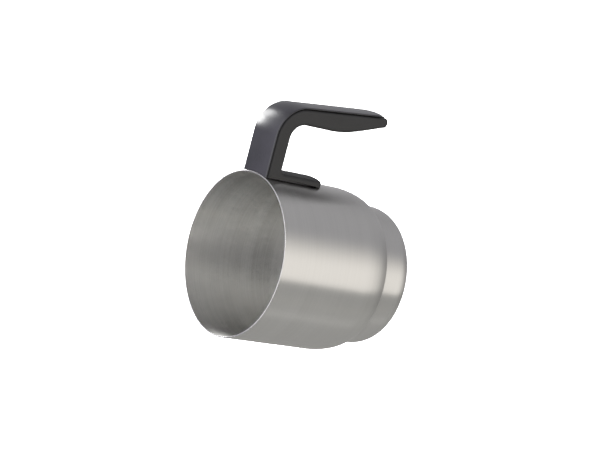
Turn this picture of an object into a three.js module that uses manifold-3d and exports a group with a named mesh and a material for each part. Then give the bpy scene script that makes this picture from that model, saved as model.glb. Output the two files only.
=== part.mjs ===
// Stainless jug of an induction milk frother, with its handle and its magnetic whisk.
// Millimetres, +Z up. The origin is the centre of the base's resting face, on the jug's axis,
// and the handle points along +X.

import * as THREE from 'three';
import { mergeVertices } from 'three/addons/utils/BufferGeometryUtils.js';
import Module from 'manifold-3d';

const wasm = await Module();
wasm.setup();

// ---- driving dimensions ----

const seatGap = 0.2; // between faces that rest on, or are welded to, each other
const sideGap = 0.3; // round a piece that drops into a pocket
const cutPast = 1; // how far a cutting shape runs past the face it cuts

const jug = {
  radius: 50, // outside of the plain wall
  height: 104.4, // resting face to rim
  wall: 0.9,
  collarInset: 7.3, // how far the lower collar steps in from the wall
  collarTop: 23, // underside of the shoulder
  shoulderHeight: 19.4,
  grooveFillet: 0.6, // concave corner between the collar and the shoulder
  bottomFillet: 5,
  rimChamfer: 0.2,
  facets: 64,
};

const baseDisc = { radius: 35, thickness: 2, chamfer: 0.5 };

const spindle = { radius: 2, length: 17.2, pressGap: 0.1 };
const boss = { footWidth: 4.9, topWall: 1.5, height: 3, footHeight: 0.8 };

const bush = { runningGap: 0.15, wall: 2.05, neckWall: 0.85, neckHeight: 1.6, length: 14.6 };

const magnet = { count: 4, radius: 4.5, thickness: 2.5 };
const magnetCover = { lap: 0.3, thickness: 1 };

const hub = {
  roof: 1.2, // plastic over the magnets
  tubeWall: 1.9,
  magnetWall: 1.4, // between the bore and a magnet's pocket
  rimWall: 3.2, // between the cover's recess and the coil's groove
  flowHoleRadius: 2.4,
  flowHoleEdge: 0.8, // a flow hole to the cover's edge
  ribThickness: 1.2,
  ribHeight: 2.4,
};

const coil = { radius: 2.8 };
const cap = { wall: 1.5, skirt: 7, roof: 2, waist: 0.9 };

const handle = {
  width: 24,
  armReach: 24, // jug wall to the centre of the bend
  rise: 0.5, // arm's top face over the rim
  shellRadius: 21, // outer face of the front shell round the bend
  shellThickness: 2,
  shadowGap: 1.5, // dark line between the shell's edge and the body's side
  shadowDepth: 1.2,
  innerRadius: 9.7, // underside of the arm round the bend
  tilt: THREE.MathUtils.degToRad(5.2), // the grip leans out by this
  drop: 77.5, // rim to the grip's tip
  tipThickness: 2.6,
  tipCorner: 1.3,
  bellyDrop: 17, // length of the grip's inner face that stays upright under the bend
  bellyLean: THREE.MathUtils.degToRad(15.6), // its lower part leans out by this
  footThickness: 4.3,
  footDrop: 41.5, // rim to the lower end of the foot
  footFillet: 3,
  footCorner: 1.3,
  edgeChamfer: 0.8,
  sideWall: 4, // each side of the channel under the shell
  channelFloor: 2.3,
  channelGripLength: 26,
};

const gasket = { thickness: 0.7, inset: 0.6, topMargin: 0.7 };

const bracket = { thickness: 1.5, legDrop: 38, tongueDrop: 4.6, tongueReach: 26, slack: 1 };

const screw = {
  radius: 1.9,
  holeRadius: 2.1,
  headRadius: 3.5,
  headHeight: 2,
  headSink: 0.4,
  socketRadius: 1.4,
  socketDepth: 1.2,
  pillarWall: 1.2, // plastic outside the head's counterbore, on the pillar under the tongue
  reaches: [10, 20], // jug wall to each screw
};

const nut = { radius: 3.9, thickness: 2.3, boreRadius: 2.05 };
const shellRib = { length: 3, depth: 2, wallGap: 1.5, gripDrop: 16 };

// ---- derived places ----

const collarRadius = jug.radius - jug.collarInset;
const jugBottom = baseDisc.thickness + seatGap;
const jugFloor = jugBottom + jug.wall;

const bossBottom = jugFloor + seatGap;
const bossTop = bossBottom + boss.height;
const spindleTop = bossBottom + spindle.length;

const bossBore = spindle.radius + spindle.pressGap;

const bushBore = spindle.radius + bush.runningGap;
const bushNeckRadius = bushBore + bush.neckWall;
const bushRadius = bushBore + bush.wall;
const bushBottom = bossTop + seatGap;
const bushShoulder = bushBottom + bush.neckHeight;
const bushTop = bushBottom + bush.length;

const coverTop = bushShoulder - seatGap;
const hubBottom = coverTop - magnetCover.thickness;
const magnetBottom = coverTop + seatGap;
const magnetPocketTop = magnetBottom + magnet.thickness + seatGap;
const hubDiscTop = magnetPocketTop + hub.roof;
const hubBore = bushRadius + seatGap;
const magnetRing = hubBore + hub.magnetWall + sideGap + magnet.radius;
const coverRadius = magnetRing + magnet.radius + magnetCover.lap;
const flowHoleRing = coverRadius - hub.flowHoleEdge - hub.flowHoleRadius;
const grooveRadius = coil.radius + sideGap;
const coilRing = coverRadius + sideGap + hub.rimWall + grooveRadius;
const hubTubeRadius = hubBore + hub.tubeWall;
const hubTubeTop = bushTop + seatGap;

const bendX = jug.radius + handle.armReach;
const bendZ = jug.height + handle.rise - handle.shellRadius;
const shellInnerRadius = handle.shellRadius - handle.shellThickness;
const landRadius = shellInnerRadius - seatGap;
const bodyRadius = shellInnerRadius - handle.shadowGap;
const channelRadius = handle.innerRadius + handle.channelFloor;
const channelWidth = handle.width - 2 * handle.sideWall;
const footFaceX = jug.radius + handle.footThickness;
const footEnd = jug.height - handle.footDrop;
const gripTip = jug.height - handle.drop;
const bodyWallRadius = jug.radius + 2 * seatGap + gasket.thickness;

const bracketRadius = jug.radius + seatGap;
const bracketOuterRadius = bracketRadius + bracket.thickness;
const bracketWidth = channelWidth - 2 * bracket.slack;
const tongueTop = jug.height - bracket.tongueDrop;
const tongueBottom = tongueTop - bracket.thickness;
const legBottom = jug.height - bracket.legDrop;
const armUnderside = bendZ + handle.innerRadius;

// ---- materials ----

function makeMaterial(color, roughness, metalness) {
  return new THREE.MeshStandardMaterial({ color, roughness, metalness });
}

const makeFinish = {
  brushedSteel: () => makeMaterial(0x9d9b96, 0.35, 1),
  plainSteel: () => makeMaterial(0xb4b3b0, 0.25, 1),
  magneticSteel: () => makeMaterial(0x8b8a87, 0.42, 1),
  satinShell: () => makeMaterial(0x4b4b55, 0.38, 0.2),
  matteBody: () => makeMaterial(0x3c3d3b, 0.7, 0),
  whiskPlastic: () => makeMaterial(0x262628, 0.5, 0),
  bushPlastic: () => makeMaterial(0xd9d6cc, 0.45, 0),
  sealRubber: () => makeMaterial(0x1c1c1e, 0.85, 0),
  magnetPlate: () => makeMaterial(0xa8a8ac, 0.3, 1),
};

// ---- making solids ----

function toSolid(geometry) {
  const bare = geometry.clone();
  bare.deleteAttribute('normal');
  bare.deleteAttribute('uv');
  const merged = mergeVertices(bare, 1e-4);
  const corners = merged.index.array;
  const triangles = [];
  for (let i = 0; i < corners.length; i += 3) {
    const [a, b, c] = [corners[i], corners[i + 1], corners[i + 2]];
    if (a !== b && b !== c && c !== a) triangles.push(a, b, c);
  }
  return new wasm.Manifold(new wasm.Mesh({
    numProp: 3,
    vertProperties: new Float32Array(merged.attributes.position.array),
    triVerts: new Uint32Array(triangles),
  }));
}

function toGeometry(solid) {
  const mesh = solid.getMesh();
  const geometry = new THREE.BufferGeometry();
  geometry.setAttribute('position', new THREE.BufferAttribute(new Float32Array(mesh.vertProperties), 3));
  geometry.setIndex(new THREE.BufferAttribute(new Uint32Array(mesh.triVerts), 1));
  geometry.computeVertexNormals();
  return geometry;
}

// Turns a profile of [radius, z] pairs, listed anticlockwise, about the Z axis.
function turn(profile, facets) {
  const points = profile.map(([radius, z]) => new THREE.Vector2(radius, z));
  return new THREE.LatheGeometry(points, facets).rotateX(Math.PI / 2);
}

function makeCylinder(radius, bottom, top, x = 0, y = 0, facets = 24) {
  const geometry = new THREE.CylinderGeometry(radius, radius, top - bottom, facets);
  return geometry.rotateX(Math.PI / 2).translate(x, y, (bottom + top) / 2);
}

function makeBlock(low, high) {
  const size = high.map((value, axis) => value - low[axis]);
  const middle = high.map((value, axis) => (value + low[axis]) / 2);
  return new THREE.BoxGeometry(...size).translate(...middle);
}

// Extrudes a side-view outline, drawn in x and z, to a width centred on y = 0.
function extrudeSide(outline, width, chamfer = 0) {
  const geometry = new THREE.ExtrudeGeometry(outline, {
    depth: width - 2 * chamfer,
    curveSegments: 14,
    bevelEnabled: chamfer > 0,
    bevelThickness: chamfer,
    bevelSize: chamfer,
    bevelOffset: -chamfer,
    bevelSegments: 1,
  });
  return geometry.translate(0, 0, chamfer - width / 2).rotateX(Math.PI / 2);
}

function arcPoints(centre, radius, from, to, steps) {
  const points = [];
  for (let step = 0; step <= steps; step += 1) {
    const angle = from + (to - from) * (step / steps);
    points.push([centre[0] + radius * Math.cos(angle), centre[1] + radius * Math.sin(angle)]);
  }
  return points;
}

const ringAngles = (count, start = 0) =>
  Array.from({ length: count }, (unused, index) => start + (2 * Math.PI * index) / count);

// ---- jug ----

// One side of the sheet, from the floor's centre to the rim. Inset 0 is the outside.
function jugSide(inset) {
  const filletCentre = [collarRadius - jug.bottomFillet, jugBottom + jug.bottomFillet];
  const grooveCentre = [collarRadius + jug.grooveFillet, jug.collarTop - jug.grooveFillet];
  const shoulderCentre = [grooveCentre[0], jug.collarTop + jug.shoulderHeight];
  const shoulderReach = jug.radius - shoulderCentre[0] - inset;
  const shoulderDepth = jug.shoulderHeight - inset;
  const shoulder = arcPoints([0, 0], 1, -Math.PI / 2, 0, 10).map(([x, z]) => [
    shoulderCentre[0] + shoulderReach * x,
    shoulderCentre[1] + shoulderDepth * z,
  ]);
  return [
    [0, jugBottom + inset],
    ...arcPoints(filletCentre, jug.bottomFillet - inset, -Math.PI / 2, 0, 5),
    ...arcPoints(grooveCentre, jug.grooveFillet + inset, Math.PI, Math.PI / 2, 4),
    ...shoulder.slice(1),
    [jug.radius - inset, jug.height - jug.rimChamfer],
  ];
}

function makeJugShell() {
  const innerRimRadius = jug.radius - jug.wall;
  const rim = [
    [jug.radius - jug.rimChamfer, jug.height],
    [innerRimRadius + jug.rimChamfer, jug.height],
  ];
  return turn([...jugSide(0), ...rim, ...jugSide(jug.wall).reverse()], jug.facets);
}

function makeBaseDisc() {
  const { radius, thickness, chamfer } = baseDisc;
  const edge = [[radius - chamfer, 0], [radius, chamfer], [radius, thickness]];
  return turn([[0, 0], ...edge, [0, thickness]], jug.facets);
}

function makeSpindleBoss() {
  const footRadius = bossBore + boss.footWidth;
  return turn([
    [bossBore, bossBottom],
    [footRadius, bossBottom],
    [footRadius, bossBottom + boss.footHeight],
    [bossBore + boss.topWall, bossTop],
    [bossBore, bossTop],
    [bossBore, bossBottom],
  ], 32);
}

function makeWhiskSpindle() {
  const tip = arcPoints([0, spindleTop - spindle.radius], spindle.radius, 0, Math.PI / 2, 4);
  tip[tip.length - 1][0] = 0;
  return turn([[0, bossBottom], [spindle.radius, bossBottom], ...tip], 24);
}

// ---- whisk ----

function makeWhiskBush() {
  return turn([
    [bushBore, bushBottom],
    [bushNeckRadius, bushBottom],
    [bushNeckRadius, bushShoulder],
    [bushRadius, bushShoulder],
    [bushRadius, bushTop],
    [bushBore, bushTop],
    [bushBore, bushBottom],
  ], 24);
}

function cutFlowHoles(solid) {
  let result = solid;
  for (const angle of ringAngles(magnet.count)) {
    const x = flowHoleRing * Math.cos(angle);
    const y = flowHoleRing * Math.sin(angle);
    const hole = makeCylinder(hub.flowHoleRadius, hubBottom - cutPast, hubDiscTop + cutPast, x, y);
    result = result.subtract(toSolid(hole));
  }
  return result;
}

const magnetAngles = ringAngles(magnet.count, Math.PI / magnet.count);

function makeWhiskHub() {
  const middle = (hubBottom + hubDiscTop) / 2;
  const grooveHalfAngle = Math.asin((hubDiscTop - hubBottom) / 2 / grooveRadius);
  const groove = arcPoints([coilRing, middle], grooveRadius,
    Math.PI + grooveHalfAngle, Math.PI - grooveHalfAngle, 8);
  const recessRadius = coverRadius + sideGap;
  let solid = toSolid(turn([
    [hubBore, magnetBottom],
    [recessRadius, magnetBottom],
    [recessRadius, hubBottom],
    ...groove,
    [hubTubeRadius, hubDiscTop],
    [hubTubeRadius, hubTubeTop],
    [hubBore, hubTubeTop],
    [hubBore, magnetBottom],
  ], 48));
  const ribReach = coilRing - grooveRadius;
  for (const angle of magnetAngles) {
    const rib = makeBlock(
      [hubBore + hub.tubeWall / 2, -hub.ribThickness / 2, hubDiscTop - hub.roof / 2],
      [ribReach, hub.ribThickness / 2, hubDiscTop + hub.ribHeight],
    ).rotateZ(angle);
    const x = magnetRing * Math.cos(angle);
    const y = magnetRing * Math.sin(angle);
    const pocket = makeCylinder(magnet.radius + sideGap, magnetBottom - cutPast, magnetPocketTop, x, y);
    solid = solid.add(toSolid(rib)).subtract(toSolid(pocket));
  }
  return toGeometry(cutFlowHoles(solid));
}

function makeWhiskMagnet(angle) {
  const x = magnetRing * Math.cos(angle);
  const y = magnetRing * Math.sin(angle);
  return makeCylinder(magnet.radius, magnetBottom, magnetBottom + magnet.thickness, x, y);
}

function makeMagnetCover() {
  const bore = bushNeckRadius + sideGap;
  const ring = turn([
    [bore, hubBottom],
    [coverRadius, hubBottom],
    [coverRadius, coverTop],
    [bore, coverTop],
    [bore, hubBottom],
  ], 48);
  return toGeometry(cutFlowHoles(toSolid(ring)));
}

// The closed envelope of the coiled wire ring that sits in the hub's groove.
function makeWhiskCoil() {
  const torus = new THREE.TorusGeometry(coilRing, coil.radius, 12, 48);
  return torus.translate(0, 0, (hubBottom + hubDiscTop) / 2);
}

function makeWhiskCap() {
  const inner = hubTubeRadius + seatGap;
  const outer = inner + cap.wall;
  const ceiling = hubTubeTop + seatGap;
  const top = ceiling + cap.roof;
  const bottom = ceiling - cap.skirt;
  return turn([
    [0, ceiling],
    [inner, ceiling],
    [inner, bottom],
    [outer, bottom],
    [outer - cap.waist, bottom + cap.skirt / 2],
    [outer, ceiling],
    [outer - cap.roof / 4, top - cap.roof / 3],
    [outer - cap.roof, top],
    [0, top],
  ], 36);
}

// ---- handle ----

// The end of a line that runs down the grip at a radius from the bend's centre.
function gripPoint(radius, z) {
  const startX = bendX + radius * Math.cos(handle.tilt);
  const startZ = bendZ + radius * Math.sin(handle.tilt);
  return [startX + (startZ - z) * Math.tan(handle.tilt), z];
}

function armAndBend(outline, radius) {
  outline.lineTo(bendX, bendZ + radius);
  outline.absarc(bendX, bendZ, radius, Math.PI / 2, handle.tilt, true);
}

function bandOutline(inner, outer, endZ) {
  const outline = new THREE.Shape();
  outline.moveTo(0, bendZ + outer);
  armAndBend(outline, outer);
  outline.lineTo(...gripPoint(outer, endZ));
  outline.lineTo(...gripPoint(inner, endZ));
  outline.absarc(bendX, bendZ, inner, handle.tilt, Math.PI / 2, false);
  outline.lineTo(0, bendZ + inner);
  return outline;
}

function bodyOutline() {
  const tipOuter = gripPoint(bodyRadius, gripTip + handle.tipCorner);
  const tipInnerX = tipOuter[0] - handle.tipThickness;
  const bellyX = bendX + handle.innerRadius;
  const bellyEnd = bendZ - handle.bellyDrop;
  const bellyRun = bellyEnd - gripTip;
  const outline = new THREE.Shape();
  outline.moveTo(0, bendZ + bodyRadius);
  armAndBend(outline, bodyRadius);
  outline.lineTo(...tipOuter);
  outline.quadraticCurveTo(tipOuter[0], gripTip, (tipOuter[0] + tipInnerX) / 2, gripTip);
  outline.quadraticCurveTo(tipInnerX, gripTip, tipInnerX, gripTip + handle.tipCorner);
  outline.bezierCurveTo(
    tipInnerX - (bellyRun / 2) * Math.tan(handle.bellyLean), bellyEnd - bellyRun / 2,
    bellyX, bellyEnd - bellyRun / 3,
    bellyX, bellyEnd,
  );
  outline.lineTo(bellyX, bendZ);
  outline.absarc(bendX, bendZ, handle.innerRadius, 0, Math.PI / 2, false);
  outline.lineTo(footFaceX + handle.footFillet, armUnderside);
  outline.absarc(footFaceX + handle.footFillet, armUnderside - handle.footFillet,
    handle.footFillet, Math.PI / 2, Math.PI, false);
  outline.lineTo(footFaceX, footEnd + handle.footCorner);
  outline.absarc(footFaceX - handle.footCorner, footEnd + handle.footCorner, handle.footCorner,
    0, -Math.PI / 2, true);
  outline.lineTo(0, footEnd);
  return outline;
}

// A round bar on the jug's axis, for fitting pieces to its wall.
function jugBar(radius, bottom = -cutPast, top = 2 * jug.height) {
  return toSolid(makeCylinder(radius, bottom, top, 0, 0, 2 * jug.facets));
}

const screwPlaces = screw.reaches.map((reach) => jug.radius + reach);

function makeHandleBody() {
  const block = toSolid(extrudeSide(bodyOutline(), handle.width, handle.edgeChamfer));
  const landEnd = gripTip + 2 * handle.tipCorner;
  const landWidth = handle.width - 2 * handle.shadowDepth;
  const land = toSolid(extrudeSide(bandOutline(bodyRadius - cutPast, landRadius, landEnd), landWidth));
  const channelEnd = bendZ - handle.channelGripLength;
  const channelBand = bandOutline(channelRadius, landRadius + cutPast, channelEnd);
  const channel = toSolid(extrudeSide(channelBand, channelWidth));
  const legPocket = toSolid(makeBlock(
    [0, -bracketWidth / 2 - sideGap, legBottom - sideGap],
    [bracketOuterRadius + sideGap, bracketWidth / 2 + sideGap, bendZ + channelRadius + cutPast],
  ));
  let solid = block.add(land).subtract(channel).subtract(legPocket);
  const channelBottom = bendZ + channelRadius;
  const counterboreTop = armUnderside + screw.headSink + screw.headHeight + seatGap;
  for (const x of screwPlaces) {
    const pillarRadius = screw.headRadius + screw.pillarWall;
    const pillar = makeCylinder(pillarRadius, channelBottom - cutPast, tongueBottom - seatGap, x);
    const counterbore = makeCylinder(screw.headRadius + sideGap, armUnderside - cutPast, counterboreTop, x);
    const hole = makeCylinder(screw.holeRadius, armUnderside - cutPast, tongueTop, x);
    solid = solid.add(toSolid(pillar)).subtract(toSolid(counterbore)).subtract(toSolid(hole));
  }
  return toGeometry(solid.subtract(jugBar(bodyWallRadius)));
}

function makeFrontShell() {
  let solid = toSolid(extrudeSide(
    bandOutline(shellInnerRadius, handle.shellRadius, gripTip), handle.width, handle.edgeChamfer));
  const halfWidth = channelWidth / 2 - sideGap;
  const ribTop = shellInnerRadius + handle.shellThickness / 2;
  const ribBottom = shellInnerRadius - shellRib.depth;
  const armRib = makeBlock(
    [jug.radius + shellRib.wallGap, -halfWidth, bendZ + ribBottom],
    [jug.radius + shellRib.wallGap + shellRib.length, halfWidth, bendZ + ribTop]);
  const gripRib = makeBlock(
    [ribBottom, -halfWidth, -shellRib.gripDrop - shellRib.length],
    [ribTop, halfWidth, -shellRib.gripDrop],
  ).rotateY(-handle.tilt).translate(bendX, 0, bendZ);
  const bendRib = makeBlock(
    [ribBottom, -halfWidth, -shellRib.length / 2],
    [ribTop, halfWidth, shellRib.length / 2],
  ).rotateY(-Math.PI / 4).translate(bendX, 0, bendZ);
  for (const rib of [armRib, gripRib, bendRib]) solid = solid.add(toSolid(rib));
  return toGeometry(solid.subtract(jugBar(jug.radius + seatGap)));
}

function makeBracket() {
  const leg = jugBar(bracketOuterRadius, legBottom, tongueTop);
  const strip = toSolid(makeBlock(
    [0, -bracketWidth / 2, legBottom],
    [jug.radius + bracket.tongueReach, bracketWidth / 2, tongueTop]));
  const tongue = toSolid(makeBlock(
    [0, -bracketWidth / 2, tongueBottom],
    [jug.radius + bracket.tongueReach, bracketWidth / 2, tongueTop]));
  let solid = leg.intersect(strip).add(tongue).subtract(jugBar(bracketRadius));
  for (const x of screwPlaces) {
    const hole = makeCylinder(screw.holeRadius, tongueBottom - cutPast, tongueTop + cutPast, x);
    solid = solid.subtract(toSolid(hole));
  }
  return toGeometry(solid);
}

function makeGasket() {
  const halfWidth = handle.width / 2 - gasket.inset;
  const halfWindow = bracketWidth / 2 + sideGap;
  const top = bendZ + bodyRadius - gasket.inset;
  const sheet = jugBar(jug.radius + seatGap + gasket.thickness, footEnd + gasket.inset, top)
    .subtract(jugBar(jug.radius + seatGap))
    .intersect(toSolid(makeBlock([0, -halfWidth, footEnd], [2 * jug.radius, halfWidth, top])));
  const window = makeBlock(
    [0, -halfWindow, legBottom - sideGap],
    [2 * jug.radius, halfWindow, tongueTop + sideGap]);
  return toGeometry(sheet.subtract(toSolid(window)));
}

function makeHandleScrew(x) {
  const headBottom = armUnderside + screw.headSink;
  const headTop = headBottom + screw.headHeight;
  const shank = makeCylinder(screw.radius, headTop - screw.headHeight / 2, tongueTop + nut.thickness, x);
  const head = makeCylinder(screw.headRadius, headBottom, headTop, x);
  const socketTop = headBottom + screw.socketDepth;
  const socket = makeCylinder(screw.socketRadius, headBottom - cutPast, socketTop, x, 0, 6);
  return toGeometry(toSolid(head).add(toSolid(shank)).subtract(toSolid(socket)));
}

function makeBracketNut(x) {
  const bottom = tongueTop + seatGap;
  const top = tongueTop + nut.thickness;
  const body = toSolid(makeCylinder(nut.radius, bottom, top, x));
  const bore = toSolid(makeCylinder(nut.boreRadius, bottom - cutPast, top + cutPast, x));
  return toGeometry(body.subtract(bore));
}

// ---- assembly ----

const group = new THREE.Group();

function place(name, geometry, material) {
  const mesh = new THREE.Mesh(geometry, material);
  mesh.name = name;
  group.add(mesh);
}

place('jug_shell', makeJugShell(), makeFinish.brushedSteel());
place('base_disc', makeBaseDisc(), makeFinish.magneticSteel());
place('spindle_boss', makeSpindleBoss(), makeFinish.plainSteel());
place('whisk_spindle', makeWhiskSpindle(), makeFinish.plainSteel());

place('whisk_bush', makeWhiskBush(), makeFinish.bushPlastic());
place('whisk_hub', makeWhiskHub(), makeFinish.whiskPlastic());
magnetAngles.forEach((angle, index) => {
  place(`whisk_magnet_${index + 1}`, makeWhiskMagnet(angle), makeFinish.magnetPlate());
});
place('magnet_cover', makeMagnetCover(), makeFinish.whiskPlastic());
place('whisk_coil', makeWhiskCoil(), makeFinish.plainSteel());
place('whisk_cap', makeWhiskCap(), makeFinish.whiskPlastic());

place('handle_bracket', makeBracket(), makeFinish.plainSteel());
place('handle_gasket', makeGasket(), makeFinish.sealRubber());
place('handle_body', makeHandleBody(), makeFinish.matteBody());
place('handle_front_shell', makeFrontShell(), makeFinish.satinShell());
screwPlaces.forEach((x, index) => {
  place(`handle_screw_${index + 1}`, makeHandleScrew(x), makeFinish.plainSteel());
  place(`bracket_nut_${index + 1}`, makeBracketNut(x), makeFinish.plainSteel());
});

export default group;
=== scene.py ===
import math

import bmesh
import bpy
from mathutils import Matrix, Vector


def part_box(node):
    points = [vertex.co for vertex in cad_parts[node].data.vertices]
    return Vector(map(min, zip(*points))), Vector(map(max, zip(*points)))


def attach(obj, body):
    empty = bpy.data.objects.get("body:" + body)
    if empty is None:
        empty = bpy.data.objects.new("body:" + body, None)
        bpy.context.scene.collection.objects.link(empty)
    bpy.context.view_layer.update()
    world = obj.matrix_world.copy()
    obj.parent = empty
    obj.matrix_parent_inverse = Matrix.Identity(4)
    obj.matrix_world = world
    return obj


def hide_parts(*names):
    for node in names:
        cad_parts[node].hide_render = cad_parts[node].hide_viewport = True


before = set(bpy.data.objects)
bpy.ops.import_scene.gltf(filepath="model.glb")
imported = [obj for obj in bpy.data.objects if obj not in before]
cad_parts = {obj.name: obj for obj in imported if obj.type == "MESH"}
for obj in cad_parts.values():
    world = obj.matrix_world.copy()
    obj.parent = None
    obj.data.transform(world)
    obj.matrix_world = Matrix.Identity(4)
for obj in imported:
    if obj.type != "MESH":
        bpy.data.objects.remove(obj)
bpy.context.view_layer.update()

mm = 0.001
print("frame loaded,", len(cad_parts), "nodes")


# shader helpers

class Wire:
    # one output socket; an expression on it adds Math nodes

    def __init__(self, tree, socket):
        self.tree = tree
        self.socket = socket

    def maths(self, operation, *values):
        node = self.tree.nodes.new("ShaderNodeMath")
        node.operation = operation
        for number, value in enumerate(values):
            if isinstance(value, Wire):
                self.tree.links.new(value.socket, node.inputs[number])
            else:
                node.inputs[number].default_value = value
        return Wire(self.tree, node.outputs[0])

    def __add__(self, other):
        return self.maths("ADD", self, other)

    def __radd__(self, other):
        return self.maths("ADD", other, self)

    def __sub__(self, other):
        return self.maths("SUBTRACT", self, other)

    def __rsub__(self, other):
        return self.maths("SUBTRACT", other, self)

    def __mul__(self, other):
        return self.maths("MULTIPLY", self, other)

    def __rmul__(self, other):
        return self.maths("MULTIPLY", other, self)

    def __pow__(self, other):
        return self.maths("POWER", self, other)


class Shader:
    # the node tree of a material or of the world

    def __init__(self, owner):
        owner.use_nodes = True
        self.tree = owner.node_tree
        self.tree.nodes.clear()

    def node(self, kind, settings=None, sockets=None, output=0):
        made = self.tree.nodes.new(kind)
        for name, value in (settings or {}).items():
            setattr(made, name, value)
        for name, value in (sockets or {}).items():
            if isinstance(value, Wire):
                self.tree.links.new(value.socket, made.inputs[name])
            else:
                made.inputs[name].default_value = value
        return Wire(self.tree, made.outputs[output]) if made.outputs else made

    def place(self):
        return self.node("ShaderNodeTexCoord", output="Object")

    def split(self, vector):
        first = self.node("ShaderNodeSeparateXYZ", sockets={"Vector": vector})
        return [Wire(self.tree, socket) for socket in first.socket.node.outputs]

    def join(self, x, y, z):
        return self.node("ShaderNodeCombineXYZ", sockets={"X": x, "Y": y, "Z": z})

    def noise(self, vector, scale, detail=2.0, roughness=0.5):
        return self.node("ShaderNodeTexNoise", sockets={
            "Vector": vector, "Scale": scale, "Detail": detail, "Roughness": roughness})

    def spread(self, value, low, high, newLow, newHigh, smooth=False):
        return self.node("ShaderNodeMapRange", {
            "interpolation_type": "SMOOTHSTEP" if smooth else "LINEAR",
        }, {
            "Value": value,
            "From Min": low,
            "From Max": high,
            "To Min": newLow,
            "To Max": newHigh,
        })

    def between(self, factor, first, second):
        # sockets 6 and 7 are the two colours, and output 2 the mixed one
        return self.node("ShaderNodeMix", {"data_type": "RGBA"}, {0: factor, 6: first, 7: second},
                         output=2)

    def bump(self, height, distance):
        return self.node("ShaderNodeBump", sockets={"Height": height, "Distance": distance})

    def surface(self, sockets):
        principled = self.node("ShaderNodeBsdfPrincipled", sockets=sockets)
        self.node("ShaderNodeOutputMaterial", sockets={"Surface": principled})


def rgb(red, green, blue):
    return (red, green, blue, 1.0)


# brushed and polished metal

brushed = {
    "dark": rgb(0.595, 0.59, 0.575),
    "light": rgb(0.645, 0.64, 0.625),
    "lines": 1100.0,       # brush lines per metre, counted across the strokes
    "strokes": 9.0,        # how fast a line changes on its way round
    "clouds": 22.0,
    "roughness": (0.285, 0.335),
    "anisotropy": 0.9,
    "anisotropicTurn": 0.25,           # share of a full turn
    "depth": 0.004 * mm,
    "coarseStrokes": 0.5,              # coarse lines, as a share of the fine ones
    "coarseLines": 0.12,
    "toneShares": (0.45, 0.35, 0.2),   # fine lines, coarse lines, clouds
    "glossShares": (0.4, 0.6),         # fine lines, coarse lines
    "span": (0.3, 0.7),                # where nearly all of the noise lies
}
# painted light: the inside's steel gets lighter colours than the outside's, which paints the jug's
# interior brighter than the light reaching it makes it; its finer lines and rougher gloss are the
# inside's own finish
brushedInsidePaintedLight = dict(brushed, dark=rgb(0.63, 0.625, 0.605), light=rgb(0.755, 0.75, 0.725),
                     roughness=(0.32, 0.42), lines=1300.0, strokes=14.0, depth=0.006 * mm)
turnedDisc = dict(brushed, dark=rgb(0.40, 0.40, 0.39), light=rgb(0.54, 0.54, 0.52),
                  lines=1500.0, depth=0.03 * mm)


def makeBrushed(name, finish):
    material = bpy.data.materials.new(name)
    shader = Shader(material)
    x, y, z = shader.split(shader.place())
    # strokes run round the axis, so the pattern is slow in x and y and quick along the sheet
    along = (z + (x * x + y * y) ** 0.5) * finish["lines"]
    slow = finish["strokes"]
    slower = slow * finish["coarseStrokes"]
    fine = shader.noise(shader.join(x * slow, y * slow, along), 1.0, 3.0, 0.6)
    coarse = shader.noise(shader.join(x * slower, y * slower, along * finish["coarseLines"]), 1.0)
    cloud = shader.noise(shader.place(), finish["clouds"])
    fineTone, coarseTone, cloudTone = finish["toneShares"]
    fineGloss, coarseGloss = finish["glossShares"]
    tone = fine * fineTone + coarse * coarseTone + cloud * cloudTone
    tone = shader.spread(tone, *finish["span"], 0.0, 1.0)
    gloss = coarse * coarseGloss + fine * fineGloss
    shader.surface({
        "Base Color": shader.between(tone, finish["dark"], finish["light"]),
        "Metallic": 1.0,
        "Roughness": shader.spread(gloss, *finish["span"], *finish["roughness"]),
        "Anisotropic": finish["anisotropy"],
        "Anisotropic Rotation": finish["anisotropicTurn"],
        "Normal": shader.bump(fine, finish["depth"]),
    })
    return material


polished = {
    "clean": rgb(0.80, 0.79, 0.77),
    "dull": rgb(0.68, 0.67, 0.65),
    "roughness": (0.14, 0.26),
    "smudges": 160.0,
    "toneSpan": (0.35, 0.7),
    "glossSpan": (0.3, 0.7),
}
polishedRim = dict(polished, clean=rgb(0.66, 0.655, 0.64), dull=rgb(0.50, 0.495, 0.48),
                   roughness=(0.24, 0.36))
rolledSheet = dict(polished, clean=rgb(0.60, 0.60, 0.59), dull=rgb(0.48, 0.48, 0.47),
                   roughness=(0.3, 0.45))
nickelPlate = dict(polished, clean=rgb(0.74, 0.74, 0.76), dull=rgb(0.66, 0.66, 0.68),
                   roughness=(0.2, 0.3))


def makePolished(name, finish):
    material = bpy.data.materials.new(name)
    shader = Shader(material)
    smudge = shader.noise(shader.place(), finish["smudges"], 3.0, 0.55)
    tone = shader.spread(smudge, *finish["toneSpan"], 0.0, 1.0)
    shader.surface({
        "Base Color": shader.between(tone, finish["clean"], finish["dull"]),
        "Metallic": 1.0,
        "Roughness": shader.spread(smudge, *finish["glossSpan"], *finish["roughness"]),
    })
    return material


# moulded plastic and rubber

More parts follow.
